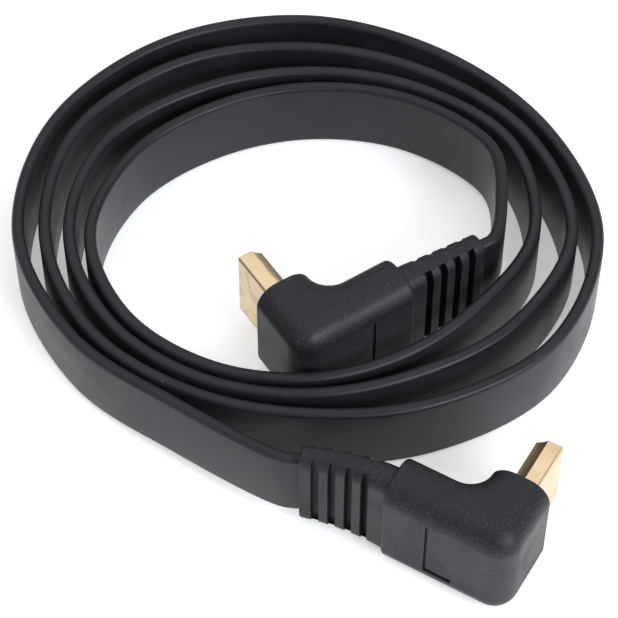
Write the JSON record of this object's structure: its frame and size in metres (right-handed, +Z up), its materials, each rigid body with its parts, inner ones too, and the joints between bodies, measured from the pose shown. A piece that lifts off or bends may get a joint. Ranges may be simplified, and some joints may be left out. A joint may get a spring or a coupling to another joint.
{
  "type": "flat audio and video cable with right-angle plugs",
  "caption": "Flat audio and video cable wound on edge in an open coil, with a right-angle moulded plug and ribbed strain relief at each end.",
  "frame": {"origin": "middle of the box round the two plugs, on the surface that the cable stands on", "axes": "+Z up, +X to the right of the picture, +Y away from the viewer"},
  "size_m": [0.0974, 0.1136, 0.02],
  "materials": {
    "cable_jacket": "satin black extruded jacket",
    "moulding": "fine-grained matte black",
    "plated_shell": "pale gold plate, satin",
    "insulator": "matte black",
    "contact": "bright gold plate"
  },
  "bodies": {
    "root": {"flat_cable": "cable_jacket", "inner_moulding": "moulding", "inner_shell": "plated_shell", "inner_insulator": "insulator", "inner_contact_near_1": "contact", "inner_contact_near_2": "contact", "inner_contact_near_3": "contact", "inner_contact_near_4": "contact", "inner_contact_near_5": "contact", "inner_contact_near_6": "contact", "inner_contact_near_7": "contact", "inner_contact_near_8": "contact", "inner_contact_near_9": "contact", "inner_contact_near_10": "contact", "inner_contact_far_1": "contact", "inner_contact_far_2": "contact", "inner_contact_far_3": "contact", "inner_contact_far_4": "contact", "inner_contact_far_5": "contact", "inner_contact_far_6": "contact", "inner_contact_far_7": "contact", "inner_contact_far_8": "contact", "inner_contact_far_9": "contact", "outer_moulding": "moulding", "outer_shell": "plated_shell", "outer_insulator": "insulator", "outer_contact_near_1": "contact", "outer_contact_near_2": "contact", "outer_contact_near_3": "contact", "outer_contact_near_4": "contact", "outer_contact_near_5": "contact", "outer_contact_near_6": "contact", "outer_contact_near_7": "contact", "outer_contact_near_8": "contact", "outer_contact_near_9": "contact", "outer_contact_near_10": "contact", "outer_contact_far_1": "contact", "outer_contact_far_2": "contact", "outer_contact_far_3": "contact", "outer_contact_far_4": "contact", "outer_contact_far_5": "contact", "outer_contact_far_6": "contact", "outer_contact_far_7": "contact", "outer_contact_far_8": "contact", "outer_contact_far_9": "contact"}
  },
  "joints": []
}
